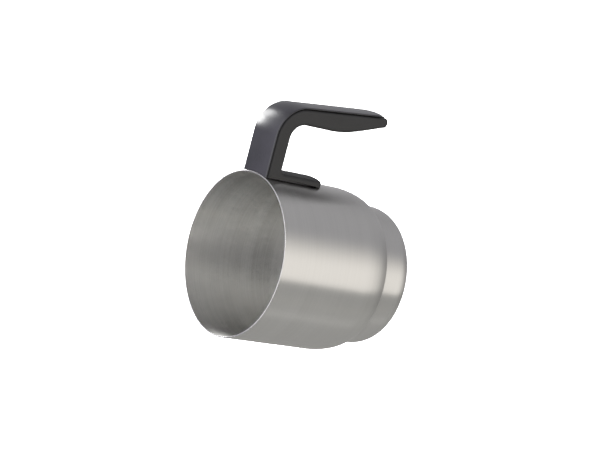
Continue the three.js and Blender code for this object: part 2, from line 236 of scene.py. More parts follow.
satin = {
    "dark": rgb(0.018, 0.018, 0.023),
    "light": rgb(0.025, 0.0245, 0.032),
    "roughness": (0.27, 0.33),
    "clouds": 60.0,
    "grain": 3500.0,
    "depth": 0.006 * mm,
    "coat": 0.25,
}
matte = {
    "dark": rgb(0.021, 0.021, 0.022),
    "light": rgb(0.029, 0.029, 0.030),
    "roughness": (0.52, 0.64),
    "clouds": 45.0,
    "grain": 2200.0,
    "depth": 0.02 * mm,
    "coat": 0.0,
}
whiskPlastic = dict(matte, dark=rgb(0.022, 0.022, 0.024), light=rgb(0.032, 0.032, 0.034),
                    roughness=(0.36, 0.46), depth=0.008 * mm)
bushPlastic = dict(matte, dark=rgb(0.66, 0.64, 0.57), light=rgb(0.76, 0.74, 0.68),
                   roughness=(0.38, 0.46), depth=0.006 * mm)
sealRubber = dict(matte, dark=rgb(0.012, 0.012, 0.013), light=rgb(0.022, 0.022, 0.023),
                  roughness=(0.75, 0.88), depth=0.03 * mm)


mouldedSpan = (0.35, 0.65)   # where nearly all of the noise lies
coatRoughness = 0.2


def makeMoulded(name, finish):
    material = bpy.data.materials.new(name)
    shader = Shader(material)
    cloud = shader.noise(shader.place(), finish["clouds"], 3.0)
    grain = shader.noise(shader.place(), finish["grain"], 2.0, 0.6)
    tone = shader.spread(cloud, *mouldedSpan, 0.0, 1.0)
    gloss = cloud * 0.5 + grain * 0.5
    shader.surface({
        "Base Color": shader.between(tone, finish["dark"], finish["light"]),
        "Roughness": shader.spread(gloss, *mouldedSpan, *finish["roughness"]),
        "Coat Weight": finish["coat"],
        "Coat Roughness": coatRoughness,
        "Normal": shader.bump(grain, finish["depth"]),
    })
    return material


finishes = {
    "brushed": makeBrushed("brushedSteel", brushed),
    "inside": makeBrushed("brushedInsidePaintedLight", brushedInsidePaintedLight),
    "disc": makeBrushed("turnedDisc", turnedDisc),
    "rim": makePolished("polishedRim", polishedRim),
    "bright": makePolished("brightSteel", polished),
    "sheet": makePolished("rolledSheet", rolledSheet),
    "nickel": makePolished("nickelPlate", nickelPlate),
    "satin": makeMoulded("satinShell", satin),
    "matte": makeMoulded("matteBody", matte),
    "whisk": makeMoulded("whiskPlastic", whiskPlastic),
    "bush": makeMoulded("bushPlastic", bushPlastic),
    "seal": makeMoulded("sealRubber", sealRubber),
}
print("finishes made:", len(finishes))


# mesh helpers

sharpAngle = math.radians(38)   # edges turned by more than this stay crisp
cutDepth = 1 * mm               # how far a cutter runs past the face it cuts


def linked(name, data):
    made = bpy.data.objects.new(name, data)
    bpy.context.scene.collection.objects.link(made)
    return made


def filled(name, mesh):
    # turns a bmesh into mesh data with its faces outwards
    data = bpy.data.meshes.new(name)
    bmesh.ops.recalc_face_normals(mesh, faces=mesh.faces)
    mesh.to_mesh(data)
    mesh.free()
    return data


def newPiece(name, mesh, materials, body, nodes):
    for face in mesh.faces:
        face.smooth = True
    data = filled(name, mesh)
    for material in materials:
        data.materials.append(finishes[material])
    piece = linked(name, data)
    data.set_sharp_from_angle(angle=sharpAngle)
    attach(piece, body)
    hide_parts(*nodes)
    return piece


def carve(piece, cutters):
    # takes the cutters' shapes out of a piece, for good
    for mesh in cutters:
        cutter = linked("cutter", filled("cutter", mesh))
        cut = piece.modifiers.new("cut", "BOOLEAN")
        cut.object = cutter
        cut.operation = "DIFFERENCE"
        cut.solver = "EXACT"
        evaluated = piece.evaluated_get(bpy.context.evaluated_depsgraph_get())
        carved = bpy.data.meshes.new_from_object(evaluated)
        piece.modifiers.clear()
        piece.data = carved
        bpy.data.objects.remove(cutter)
    piece.data.set_sharp_from_angle(angle=sharpAngle)


def refinish(node, finish):
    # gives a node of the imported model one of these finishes
    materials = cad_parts[node].data.materials
    materials.clear()
    materials.append(finishes[finish])


def arc(centreX, centreZ, radius, start, end, steps, radiusZ=None):
    # points round part of a circle, or of an ellipse where radiusZ is given; angles in degrees
    rise = radius if radiusZ is None else radiusZ
    points = []
    for step in range(steps + 1):
        angle = math.radians(start + (end - start) * step / steps)
        points.append((centreX + radius * math.cos(angle), centreZ + rise * math.sin(angle)))
    return points


def straight(start, end, steps):
    # the points of a line, without its end
    return [(start[0] + (end[0] - start[0]) * step / steps,
             start[1] + (end[1] - start[1]) * step / steps) for step in range(steps)]


def skin(mesh, rings, paint=None):
    # joins each ring of points to the next; paint gives each strip its material's number
    count = len(rings[0])
    for number, (near, far) in enumerate(zip(rings, rings[1:])):
        for step in range(count):
            after = (step + 1) % count
            corners = list(dict.fromkeys((near[step], near[after], far[after], far[step])))
            if len(corners) > 2:
                face = mesh.faces.new(corners)
                face.material_index = paint[number] if paint else 0


def spun(profile, steps, paint=None, centre=(0.0, 0.0)):
    # turns (radius, z) points about a vertical axis; a radius of 0 is one point
    mesh = bmesh.new()
    turns = [2 * math.pi * step / steps for step in range(steps)]
    rings = []
    for radius, z in profile:
        if radius == 0:
            rings.append([mesh.verts.new((*centre, z))] * steps)
        else:
            rings.append([mesh.verts.new((centre[0] + radius * math.cos(turn),
                                          centre[1] + radius * math.sin(turn), z))
                          for turn in turns])
    skin(mesh, rings, paint)
    return mesh


def stacked(slices):
    # joins side-view outlines of (x, z) points, each at its own y, into one closed body
    mesh = bmesh.new()
    rings = [[mesh.verts.new((x, y, z)) for x, z in outline] for y, outline in slices]
    skin(mesh, rings)
    mesh.faces.new(rings[0])
    mesh.faces.new(rings[-1])
    return mesh


def softened(profile, radius, steps=4):
    # rounds the corners of an open run of points; its two ends stay
    share = 0.45   # of a side, at most, goes to each of its corners
    result = [profile[0]]
    for before, corner, after in zip(profile, profile[1:], profile[2:]):
        corner = Vector(corner)
        sides = [Vector(before) - corner, Vector(after) - corner]
        reach = min(radius, sides[0].length * share, sides[1].length * share)
        first = corner + sides[0].normalized() * reach
        last = corner + sides[1].normalized() * reach
        for step in range(steps + 1):
            t = step / steps
            result.append(tuple(first.lerp(corner, t).lerp(corner.lerp(last, t), t)))
    result.append(profile[-1])
    return result


# jug

jugLow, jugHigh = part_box("jug_shell")
rimZ = jugHigh.z
wallRadius = jugHigh.x

jug = {
    "wall": 0.9 * mm,
    "collarInset": 7.3 * mm,
    "collarTop": 23 * mm,
    "shoulderHeight": 19.4 * mm,
    "grooveFillet": 0.6 * mm,
    "bottomFillet": 5 * mm,
    "bottomRise": 9 * mm,  # height over which the collar turns in to the bottom
    "rimRound": 0.3 * mm,
    "rimLine": 0.5 * mm,   # height of the polished edge
    "middle": 6 * mm,      # radius of the innermost ring of the bottom
    "steps": 224,          # round the axis
    "bottomSteps": 5,
    "cornerSteps": 16,
    "collarSteps": 5,
    "grooveSteps": 6,
    "shoulderSteps": 30,
    "wallSteps": 12,
    "rimSteps": 5,
}


def jugSide(inset):
    # from the middle of the bottom up to the rim, this far inside the outer face
    fillet = jug["bottomFillet"]
    groove = jug["grooveFillet"]
    collarRadius = wallRadius - jug["collarInset"]
    shoulderX = collarRadius + groove
    shoulderZ = jug["collarTop"] + jug["shoulderHeight"]
    bottom = jugLow.z + inset
    grooveZ = jug["collarTop"] - groove
    top = (wallRadius - inset, rimZ - jug["rimLine"])
    points = [(0.0, bottom)]
    points += straight((jug["middle"], bottom), (collarRadius - fillet, bottom), jug["bottomSteps"])
    points += arc(collarRadius - fillet, jugLow.z + jug["bottomRise"], fillet - inset, -90, 0,
                  jug["cornerSteps"], jug["bottomRise"] - inset)
    points += straight(points[-1], (collarRadius - inset, grooveZ), jug["collarSteps"])[1:]
    points += arc(shoulderX, grooveZ, groove + inset, 180, 90, jug["grooveSteps"])
    points += arc(shoulderX, shoulderZ, wallRadius - shoulderX - inset, -90, 0,
                  jug["shoulderSteps"], jug["shoulderHeight"] - inset)[1:]
    points += straight(points[-1], top, jug["wallSteps"])[1:]
    return points + [top]


def makeJug():
    turn = jug["rimRound"]
    innerRim = wallRadius - jug["wall"]
    outer = jugSide(0)
    inner = jugSide(jug["wall"])[::-1]
    rim = arc(wallRadius - turn, rimZ - turn, turn, 0, 90, jug["rimSteps"])
    rim += arc(innerRim + turn, rimZ - turn, turn, 90, 180, jug["rimSteps"])
    # material numbers: 0 outside, 1 inside (the steel's lighter copy, painted light), 2 on the rim
    paint = [0] * (len(outer) - 1) + [2] * (len(rim) + 1) + [1] * (len(inner) - 1)
    mesh = spun(outer + rim + inner, jug["steps"], paint)
    newPiece("jugSheet", mesh, ["brushed", "inside", "rim"], "jug", ["jug_shell"])


makeJug()

discLow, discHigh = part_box("base_disc")
disc = {
    "edge": 0.5 * mm,
    "softening": 0.25 * mm,
    "middle": 4 * mm,
    "ring": 24 * mm,       # radius of the turned groove in the resting face
    "ringWidth": 0.8 * mm,
    "ringDepth": 0.15 * mm,
    "steps": 160,
}


def makeDisc():
    radius = discHigh.x
    low = discLow.z
    edge = disc["edge"]
    ring = disc["ring"]
    width = disc["ringWidth"]
    groove = [(ring - width, low), (ring - width / 2, low + disc["ringDepth"]),
              (ring + width / 2, low + disc["ringDepth"]), (ring + width, low)]
    profile = [(0.0, low), (disc["middle"], low), *groove, (radius - edge, low),
               (radius, low + edge), (radius, discHigh.z), (radius - edge, discHigh.z),
               (0.0, discHigh.z)]
    mesh = spun(softened(profile, disc["softening"]), disc["steps"])
    newPiece("baseDisc", mesh, ["disc"], "jug", ["base_disc"])


makeDisc()
print("jug and base disc made")


# handle

shellLow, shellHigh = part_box("handle_front_shell")
bodyLow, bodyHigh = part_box("handle_body")

handle = {
    "armReach": 24 * mm,         # jug wall to the centre of the bend
    "shellRadius": 21 * mm,
    "shellInner": 19.7 * mm,
    "bodyRadius": 18.9 * mm,
    "landRadius": 19.6 * mm,
    "landInset": 3 * mm,
    "landEnd": 1.4 * mm,         # how far the land stops short of the grip's tip
    "landCorner": 1.2 * mm,
    "innerRadius": 9.4 * mm,
    "tilt": 5.2,                 # degrees the grip leans out
    "tipThickness": 6.0 * mm,
    "tipCorner": 2.0 * mm,
    "tipDrop": 1.2 * mm,         # how far the tip reaches below the model's own
    "bellyDrop": 17 * mm,
    "bellyLean": 15.6,
    "footThickness": 3.9 * mm,
    "footDrop": 42.3 * mm,
    "footFillet": 3 * mm,
    "footCorner": 1.5 * mm,
    "footRound": 3.2 * mm,       # rounding of the foot's lower end, seen from the front
    "wallGap": 0.3 * mm,
    "seamEdge": 1.7 * mm,        # rounding beside the shell
    "gripEdge": 2.0 * mm,        # rounding on the fingers' side
    "footEdge": 2.0 * mm,
    "tipEdge": 1.4 * mm,
    "tipShare": 0.9,             # how much of that the tip's end draws up
    "wallEdge": 0.4 * mm,
    "shellEdge": 0.6 * mm,
    "shellLip": 0.2 * mm,
    "shellCrown": 0.8 * mm,
    "shellTip": 2.6 * mm,
    "shellEnd": 1.9 * mm,        # how far the shell stops short of it
    "shellRound": 7 * mm,        # rounding of its end, seen from the front
    "shellGap": 0.25 * mm,
    "support": 0.12 * mm,        # narrow band that keeps a flat face flat beside a rounded edge
    "bodySlices": (10, 9),       # slices across one rounded edge, and from there to the middle
    "shellSlices": (6, 9),
    "landSlices": 4,
    "landRoot": 1 * mm,          # how deep the land's root lies in the body
    "armSteps": 10,
    "bendSteps": 30,
    "innerBendSteps": 20,
    "gripSteps": 12,
    "tipSteps": 12,
    "bellySteps": 24,
    "filletSteps": 10,
    "cornerSteps": 8,
    "bandArmSteps": 12,
    "bandGripSteps": 14,
}

halfWidth = bodyHigh.y
bendX = wallRadius + handle["armReach"]
bendZ = shellHigh.z - handle["shellRadius"]
tilt = math.radians(handle["tilt"])
footFaceX = wallRadius + handle["footThickness"]
footEnd = rimZ - handle["footDrop"]
armUnderside = bendZ + handle["innerRadius"]
tipEnd = bodyLow.z - handle["tipDrop"]


def edgeInset(y, half, radius):
    # how far a rounded edge has drawn in at this y
    over = max(0.0, abs(y) - (half - radius))
    return radius - math.sqrt(max(0.0, radius * radius - over * over))


def sagitta(radius, y):
    # how far a circle has fallen back at this y
    return radius - math.sqrt(radius * radius - y * y)


def wallX(gap, y):
    # x of a face that stands off the jug's wall by this gap
    return math.sqrt((wallRadius + gap) ** 2 - y * y)


def sliceHeights(half, radius, slices):
    # y of every slice: close together round the edges, even in between
    steps, inner = slices
    edge = [half - radius * (1 - math.cos(math.radians(90 * step / steps)))
            for step in range(steps + 1)]
    flat = half - radius - handle["support"]
    side = edge + [flat * (1 - step / inner) for step in range(inner)]
    return side + [0.0] + [-y for y in reversed(side)]


def gripPoint(radius, z):
    # the point at this height on the leaning face that runs down from the bend
    startX = bendX + radius * math.cos(tilt)
    startZ = bendZ + radius * math.sin(tilt)
    return (startX + (startZ - z) * math.tan(tilt), z)


def belly(insetTip, insetTop):
    # the grip's inner face, from its tip up to the bend
    tipZ = tipEnd + handle["tipCorner"]
    tipX = gripPoint(handle["bodyRadius"], tipZ)[0] - handle["tipThickness"]
    topX = bendX + handle["innerRadius"]
    topZ = bendZ - handle["bellyDrop"]
    run = topZ - tipEnd
    ends = [Vector((tipX, tipZ)),
            Vector((tipX - run / 2 * math.tan(math.radians(handle["bellyLean"])), topZ - run / 2)),
            Vector((topX, topZ - run / 3)),
            Vector((topX, topZ))]
    points = []
    for step in range(handle["bellySteps"] + 1):
        t = step / handle["bellySteps"]
        s = 1 - t
        point = (ends[0] * s ** 3 + ends[1] * 3 * s * s * t
                 + ends[2] * 3 * s * t * t + ends[3] * t ** 3)
        slope = ((ends[1] - ends[0]) * s * s + (ends[2] - ends[1]) * 2 * s * t
                 + (ends[3] - ends[2]) * t * t)
        slope.normalize()
        inset = insetTip + (insetTop - insetTip) * min(1.0, 2 * t)
        points.append((point.x + slope.y * inset, point.y - slope.x * inset))
    return points


def bodyOutline(y, extra=0.0):
    # every side draws in by its own rounding
    edges = ("seamEdge", "gripEdge", "footEdge", "tipEdge", "wallEdge")
    seam, grip, foot, tip, wall = (edgeInset(y, halfWidth, handle[edge]) + extra for edge in edges)
    radius = handle["bodyRadius"] - seam
    backX = wallX(handle["wallGap"], y) + wall
    top = bendZ + radius
    under = armUnderside + grip
    fillet = handle["footFillet"]
    corner = handle["footCorner"]
    faceX = footFaceX - foot - sagitta(wallRadius, y)   # the foot follows the wall's curve
    filletX = faceX + fillet + foot
    endZ = footEnd + tip + edgeInset(y, halfWidth, handle["footRound"])
    tipZ = tipEnd + handle["tipCorner"]
    inner = belly(tip, grip)
    outerTip = gripPoint(radius, tipZ)
    tipX = (outerTip[0] + inner[0][0]) / 2
    tipReach = (outerTip[0] - inner[0][0]) / 2
    tipDepth = handle["tipCorner"] - tip * handle["tipShare"]
    points = straight((backX, top), (bendX, top), handle["armSteps"])
    points += arc(bendX, bendZ, radius, 90, handle["tilt"], handle["bendSteps"])
    points += straight(points[-1], outerTip, handle["gripSteps"])[1:]
    points += arc(tipX, tipZ, tipReach, 0, -180, handle["tipSteps"], tipDepth)
    points += inner[1:]
    points += straight(inner[-1], (inner[-1][0], bendZ), 6)[1:]
    points += arc(bendX, bendZ, handle["innerRadius"] + grip, 0, 90, handle["innerBendSteps"])
    points += straight((bendX, under), (filletX, under), 6)[1:]
    points += arc(filletX, armUnderside - fillet, fillet + foot, 90, 180, handle["filletSteps"],
                  fillet + grip)
    points += straight(points[-1], (faceX, endZ + corner), 8)[1:]
    points += arc(faceX - corner, endZ + corner, corner, 0, -90, handle["cornerSteps"])
    points += straight(points[-1], (backX, endZ), 3)[1:]
    points += straight((backX, endZ), (backX, top), handle["armSteps"])
    return points


def bandOutline(outer, inner, endZ, startX, corner):
    # a strip that follows the arm, the bend and the grip
    bend = handle["bendSteps"]
    points = straight((startX, bendZ + outer), (bendX, bendZ + outer), handle["bandArmSteps"])
    points += arc(bendX, bendZ, outer, 90, handle["tilt"], bend)
    outerEnd = gripPoint(outer, endZ + corner)
    innerEnd = gripPoint(inner, endZ + corner)
    points += straight(points[-1], outerEnd, handle["bandGripSteps"])[1:]
    points += arc(innerEnd[0], endZ + corner, outerEnd[0] - innerEnd[0], 0, -90,
                  handle["filletSteps"], corner)
    top = arc(bendX, bendZ, inner, handle["tilt"], 90, bend)
    points += straight(innerEnd, top[0], handle["bandGripSteps"])[1:]
    points += top
    points += straight((bendX, bendZ + inner), (startX, bendZ + inner), handle["bandArmSteps"])[1:]
    return points + [(startX, bendZ + inner)]


def addMesh(target, extra):
    # puts one bmesh into another
    data = bpy.data.meshes.new("extra")
    extra.to_mesh(data)
    extra.free()
    target.from_mesh(data)
    bpy.data.meshes.remove(data)


screws = {
    "headRadius": 3.5 * mm,
    "counterbore": 3.8 * mm,
    "flare": 0.35 * mm,
    "sink": 0.7 * mm,            # how far the head lies inside the arm's lower face
    "headHeight": 2 * mm,
    "headRoom": 0.2 * mm,
    "softening": 0.35 * mm,
    "socketRadius": 1.45 * mm,
    "socketDepth": 1.2 * mm,
    "shankRadius": 1.9 * mm,
    "boreStart": 3 * mm,         # how far under the arm the counterbore's cutter starts
    "steps": 48,
    "socketSides": 6,
}


def screwCentre(node):
    low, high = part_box(node)
    return ((low.x + high.x) / 2, 0.0)


def makeHandleBody():
    heights = sliceHeights(halfWidth, handle["footEdge"], handle["bodySlices"])
    slices = [(y, bodyOutline(y)) for y in heights]
    # one smaller outline on each side keeps the flat sides flat
    first, last = ((y, bodyOutline(y, handle["support"])) for y in (halfWidth, -halfWidth))
    mesh = stacked([first, *slices, last])
    landHalf = halfWidth - handle["landInset"]
    root = handle["landRoot"]
    land = []
    for step in range(2 * handle["landSlices"] + 1):
        y = landHalf * (1 - step / handle["landSlices"])
        startX = wallX(handle["wallGap"], y) + root
        land.append((y, bandOutline(handle["landRadius"], handle["bodyRadius"] - root,
                                    tipEnd + handle["landEnd"], startX, handle["landCorner"])))
    addMesh(mesh, stacked(land))
    piece = newPiece("handleBody", mesh, ["matte"], "jug", ["handle_body"])
    bore = screws["counterbore"]
    flare = screws["flare"]
    start = armUnderside - screws["boreStart"]
    top = armUnderside + screws["sink"] + screws["headHeight"] + screws["headRoom"]
    profile = [(0.0, start), (bore + flare, start), (bore + flare, armUnderside),
               (bore, armUnderside + flare), (bore, top), (0.0, top)]
    carve(piece, [spun(profile, screws["steps"], centre=screwCentre(node))
                  for node in ("handle_screw_1", "handle_screw_2")])


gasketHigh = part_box("handle_gasket")[1]
gasket = {
    "inner": 0.32 * mm,    # gaps from the wall to its two faces
    "outer": 0.9 * mm,
    "inset": 0.8 * mm,     # inside the foot's end
    "slices": 12,
}


def makeGasket():
    slices = []
    for step in range(2 * gasket["slices"] + 1):
        y = gasketHigh.y * (1 - step / gasket["slices"])
        near = wallX(gasket["inner"], y)
        far = wallX(gasket["outer"], y)
        low = footEnd + gasket["inset"] + edgeInset(y, halfWidth, handle["footRound"])
        slices.append((y, [(near, low), (far, low), (far, gasketHigh.z), (near, gasketHigh.z)]))
    newPiece("handleGasket", stacked(slices), ["seal"], "jug", ["handle_gasket"])


def makeFrontShell():
    edge = handle["shellEdge"]
    lip = handle["shellLip"]
    slices = []
    for y in sliceHeights(halfWidth, edge, handle["shellSlices"]):
        crown = handle["shellCrown"] * (y / halfWidth) ** 2
        outer = handle["shellRadius"] - crown - edgeInset(y, halfWidth, edge)
        inner = handle["shellInner"] + edgeInset(y, halfWidth, lip)
        end = tipEnd + handle["shellEnd"] + edgeInset(y, halfWidth, handle["shellRound"])
        startX = wallX(handle["shellGap"], y)
        slices.append((y, bandOutline(outer, inner, end, startX, handle["shellTip"])))
    newPiece("handleFrontShell", stacked(slices), ["satin"], "jug",
             ["handle_front_shell"])


def makeScrews():
    head = screws["headRadius"]
    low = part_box("handle_screw_1")[0].z
    top = low + screws["headHeight"]
    shank = screws["shankRadius"]
    socket = screws["socketRadius"]
    socketEnd = low + screws["socketDepth"]
    for number, node in enumerate(("handle_screw_1", "handle_screw_2"), start=1):
        centre = screwCentre(node)
        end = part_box(node)[1].z
        profile = [(0.0, low), (head, low), (head, top), (shank, top), (shank, end), (0.0, end)]
        mesh = spun(softened(profile, screws["softening"]), screws["steps"], centre=centre)
        piece = newPiece(f"handleScrew{number}", mesh, ["bright"], "jug", [node])
        cut = [(0.0, low - cutDepth), (socket, low - cutDepth), (socket, socketEnd),
               (0.0, socketEnd)]
        carve(piece, [spun(cut, screws["socketSides"], centre=centre)])


makeHandleBody()
makeGasket()
makeFrontShell()
makeScrews()
for node in ("handle_bracket", "bracket_nut_1", "bracket_nut_2"):
    refinish(node, "sheet")
print("handle made")


# spindle and whisk

bossLow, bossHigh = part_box("spindle_boss")
pinLow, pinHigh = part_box("whisk_spindle")
bushLow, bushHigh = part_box("whisk_bush")
hubLow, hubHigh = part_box("whisk_hub")
coverLow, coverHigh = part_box("magnet_cover")
coilLow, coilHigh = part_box("whisk_coil")
capLow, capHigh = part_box("whisk_cap")

spindle = {
    "bossBore": 2.1 * mm,
    "bossTop": 3.6 * mm,
    "bossFoot": 0.8 * mm,
    "bossSoftening": 0.3 * mm,
    "bushBore": 2.15 * mm,
    "bushNeck": 3 * mm,
    "bushNeckHeight": 1.6 * mm,
    "bushSoftening": 0.25 * mm,
    "bossSteps": 96,
    "pinSteps": 48,
    "domeSteps": 8,
    "bushSteps": 64,
}


def makeSpindle():
    bore = spindle["bossBore"]
    foot = bossHigh.x
    profile = [(bore, bossLow.z), (foot, bossLow.z), (foot, bossLow.z + spindle["bossFoot"]),
               (spindle["bossTop"], bossHigh.z), (bore, bossHigh.z), (bore, bossLow.z)]
    mesh = spun(softened(profile, spindle["bossSoftening"]), spindle["bossSteps"])
    newPiece("spindleBoss", mesh, ["bright"], "jug", ["spindle_boss"])
    radius = pinHigh.x
    dome = arc(0.0, pinHigh.z - radius, radius, 0, 90, spindle["domeSteps"])[:-1]
    pin = [(0.0, pinLow.z), (radius, pinLow.z), *dome, (0.0, pinHigh.z)]
    newPiece("whiskSpindle", spun(pin, spindle["pinSteps"]), ["bright"], "jug",
             ["whisk_spindle"])


def makeBush():
    bore = spindle["bushBore"]
    neck = spindle["bushNeck"]
    shoulder = bushLow.z + spindle["bushNeckHeight"]
    profile = [(bore, bushLow.z), (neck, bushLow.z), (neck, shoulder), (bushHigh.x, shoulder),
               (bushHigh.x, bushHigh.z), (bore, bushHigh.z), (bore, bushLow.z)]
    mesh = spun(softened(profile, spindle["bushSoftening"]), spindle["bushSteps"])
    newPiece("whiskBush", mesh, ["bush"], "whisk_carrier", ["whisk_bush"])


hub = {
    "bore": 4.4 * mm,
    "tube": 6.3 * mm,
    "tubeFillet": 1.5 * mm,
    "discHeight": 5.3 * mm,
    "recess": 15.7 * mm,         # radius of the recess that takes the cover
    "recessGap": 0.2 * mm,
    "grooveRadius": 3.1 * mm,
    "grooveRing": 22 * mm,
    "grooveSteps": 14,
    "softening": 0.3 * mm,
    "steps": 96,
    "flowHoles": 4,
    "flowHole": 2.4 * mm,
    "flowRing": 12.2 * mm,
    "flowSteps": 40,
    "ribHalf": 0.6 * mm,
    "ribHeight": 2.4 * mm,
    "ribRoot": 1 * mm,           # how deep a rib stands in the disc
    "ribStart": 0.5 * mm,        # and in the tube
    "ribInset": 0.6 * mm,        # from the disc's edge
    "ribRound": 3 * mm,
    "ribTurn": 45,               # degrees, so that the ribs stand between the flow holes
}
discTop = hubLow.z + hub["discHeight"]


def flowCutters(low, high):
    radius = hub["flowHole"]
    start = low - cutDepth
    end = high + cutDepth
    cutters = []
    for number in range(hub["flowHoles"]):
        angle = 2 * math.pi * number / hub["flowHoles"]
        centre = (hub["flowRing"] * math.cos(angle), hub["flowRing"] * math.sin(angle))
        cutters.append(spun([(0.0, start), (radius, start), (radius, end), (0.0, end)],
                            hub["flowSteps"], centre=centre))
    return cutters


def makeHub():
    bore = hub["bore"]
    tube = hub["tube"]
    fillet = hub["tubeFillet"]
    middle = (coilLow.z + coilHigh.z) / 2
    groove = hub["grooveRadius"]
    lean = math.degrees(math.asin((discTop - hubLow.z) / 2 / groove))
    curve = arc(hub["grooveRing"], middle, groove, 180 + lean, 180 - lean, hub["grooveSteps"])
    recessZ = coverHigh.z + hub["recessGap"]
    profile = [(bore, recessZ), (hub["recess"], recessZ), (hub["recess"], hubLow.z), *curve,
               (tube + fillet, discTop), (tube, discTop + fillet), (tube, hubHigh.z),
               (bore, hubHigh.z), (bore, recessZ)]
    mesh = spun(softened(profile, hub["softening"]), hub["steps"])
    piece = newPiece("whiskHub", mesh, ["whisk"], "whisk_rotor", ["whisk_hub"])
    carve(piece, flowCutters(hubLow.z, discTop))


def makeRibs():
    reach = hub["grooveRing"] - hub["grooveRadius"] - hub["ribInset"]
    start = hub["tube"] - hub["ribStart"]
    root = discTop - hub["ribRoot"]
    rise = hub["ribHeight"]
    bend = hub["ribRound"]
    outline = [(start, root), (reach, root), (reach, discTop),
               *arc(reach - bend, discTop, bend, 0, 90, 8, rise)[1:], (start, discTop + rise)]
    mesh = bmesh.new()
    for number in range(hub["flowHoles"]):
        rib = stacked([(side * hub["ribHalf"], outline) for side in (-1, -0.5, 0, 0.5, 1)])
        angle = math.radians(hub["ribTurn"] + 360 * number / hub["flowHoles"])
        bmesh.ops.transform(rib, matrix=Matrix.Rotation(angle, 4, "Z"), verts=rib.verts)
        addMesh(mesh, rib)
    data = filled("whiskRibs", mesh)
    data.materials.append(finishes["whisk"])
    piece = linked("whiskRibs", data)
    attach(piece, "whisk_rotor")


cover = {"bore": 3.3 * mm, "softening": 0.2 * mm, "steps": 96}


def makeCover():
    bore = cover["bore"]
    profile = [(bore, coverLow.z), (coverHigh.x, coverLow.z), (coverHigh.x, coverHigh.z),
               (bore, coverHigh.z), (bore, coverLow.z)]
    mesh = spun(softened(profile, cover["softening"]), cover["steps"])
    piece = newPiece("magnetCover", mesh, ["whisk"], "whisk_rotor",
                     ["magnet_cover"])
    carve(piece, flowCutters(coverLow.z, coverHigh.z))


coil = {
    "wire": 0.28 * mm,     # radius
    "turns": 104,
    "turnPoints": 14,
    "wireRoundness": 2,
}


def makeCoil():
    tubeRadius = (coilHigh.z - coilLow.z) / 2
    ring = coilHigh.x - tubeRadius
    middle = (coilLow.z + coilHigh.z) / 2
    turnRadius = tubeRadius - coil["wire"]
    count = coil["turns"] * coil["turnPoints"]
    curve = bpy.data.curves.new("whiskCoil", "CURVE")
    curve.dimensions = "3D"
    curve.bevel_depth = coil["wire"]
    curve.bevel_resolution = coil["wireRoundness"]
    spline = curve.splines.new("POLY")
    spline.points.add(count - 1)
    spline.use_cyclic_u = True
    for number, point in enumerate(spline.points):
        around = 2 * math.pi * number / count
        turn = 2 * math.pi * number / coil["turnPoints"]
        reach = ring + turnRadius * math.cos(turn)
        z = middle + turnRadius * math.sin(turn)
        point.co = (reach * math.cos(around), reach * math.sin(around), z, 1)
    curve.materials.append(finishes["bright"])
    piece = linked("whiskCoil", curve)
    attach(piece, "whisk_rotor")
    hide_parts("whisk_coil")


cap = {
    "bore": 6.5 * mm,
    "waist": 0.9 * mm,
    "roof": 2 * mm,
    "foot": 1 * mm,              # straight band at the lower edge
    "bandLow": 0.4 * mm,         # straight band at the top, from under the roof
    "bandHigh": 0.3 * mm,        # to above its lower face
    "shoulder": (0.8 * mm, 0.5 * mm),    # in and down from the top's edge
    "crown": 2.4 * mm,           # radius that the flat top is smaller by
    "softening": 0.5 * mm,
    "steps": 96,
}


def makeCap():
    bore = cap["bore"]
    outer = capHigh.x
    top = capHigh.z
    ceiling = top - cap["roof"]
    middle = (capLow.z + ceiling) / 2
    shoulderIn, shoulderDown = cap["shoulder"]
    profile = [(0.0, ceiling), (bore, ceiling), (bore, capLow.z), (outer, capLow.z),
               (outer, capLow.z + cap["foot"]), (outer - cap["waist"], middle),
               (outer, ceiling - cap["bandLow"]), (outer, ceiling + cap["bandHigh"]),
               (outer - shoulderIn, top - shoulderDown), (outer - cap["crown"], top), (0.0, top)]
    mesh = spun(softened(profile, cap["softening"]), cap["steps"])
    newPiece("whiskCap", mesh, ["whisk"], "whisk_rotor", ["whisk_cap"])


makeSpindle()
makeBush()
makeHub()
makeRibs()
makeCover()
makeCoil()
makeCap()
for number in range(1, 5):
    refinish(f"whisk_magnet_{number}", "nickel")
print("spindle and whisk made")


# camera, floor and light

view = {
    "azimuth": 7.5,
    "elevation": 37.2,
    "roll": 79.8,
    "distance": 24 * wallRadius,
    "slide": (-0.032 * wallRadius, 0.482 * wallRadius),
    "lens": 119.1,
    "sensor": 36,
    "farthest": 20,
}


def directionFrom(azimuth, elevation):
    # unit vector towards a viewer at this azimuth and elevation
    a, e = math.radians(azimuth), math.radians(elevation)
    return Vector((math.sin(a) * math.cos(e), -math.cos(a) * math.cos(e), math.sin(e)))


def makeCamera():
    back = directionFrom(view["azimuth"], view["elevation"])
    level = Vector((0, 0, 1)).cross(back).normalized()
    upright = back.cross(level)
    roll = math.radians(view["roll"])
    right = level * math.cos(roll) - upright * math.sin(roll)
    up = level * math.sin(roll) + upright * math.cos(roll)
    centre = Vector((0, 0, rimZ / 2))
    across, upwards = view["slide"]
    eye = centre + back * view["distance"] + right * across + up * upwards
    data = bpy.data.cameras.new("camera")
    data.lens = view["lens"]
    data.sensor_width = view["sensor"]
    data.clip_end = view["farthest"]
    camera = linked("camera", data)
    turn = Matrix((right, up, back)).transposed().to_4x4()
    camera.matrix_world = Matrix.Translation(eye) @ turn
    bpy.context.scene.camera = camera


makeCamera()

floor = {"size": 12.0, "colour": rgb(0.93, 0.93, 0.925), "roughness": 0.9}


